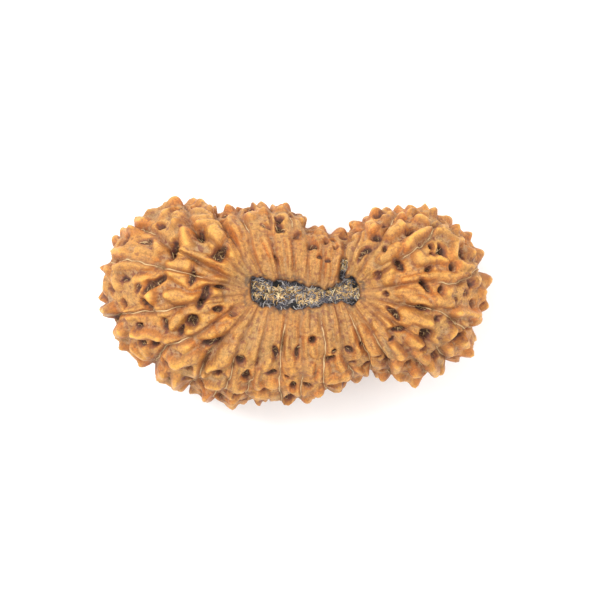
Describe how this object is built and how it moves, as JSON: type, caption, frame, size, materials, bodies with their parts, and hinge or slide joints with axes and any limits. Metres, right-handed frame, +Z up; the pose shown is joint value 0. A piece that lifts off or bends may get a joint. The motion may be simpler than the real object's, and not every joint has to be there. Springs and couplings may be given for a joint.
{
  "type": "rudraksha seed",
  "caption": "Whole dried rudraksha seed, kidney-shaped, with radial seams, a raised net of lumps and ridges round deep pits, and a long fibre-filled mouth on top.",
  "frame": {"origin": "centre of the bounding box in plan, at the level of the surface that the seed lies on", "axes": "+X along the seed, towards its shorter lobe; +Z up, out of the mouth that faces the viewer; +Y towards the notched side"},
  "size_m": [0.0381, 0.0207, 0.017],
  "materials": {
    "shell": "satin, waxy orange-brown shell with darker pits",
    "pulp_fibre": "matt, dried dark pulp and straw-coloured fibre"
  },
  "bodies": {
    "root": {"rudraksha_seed": "shell"}
  },
  "joints": []
}
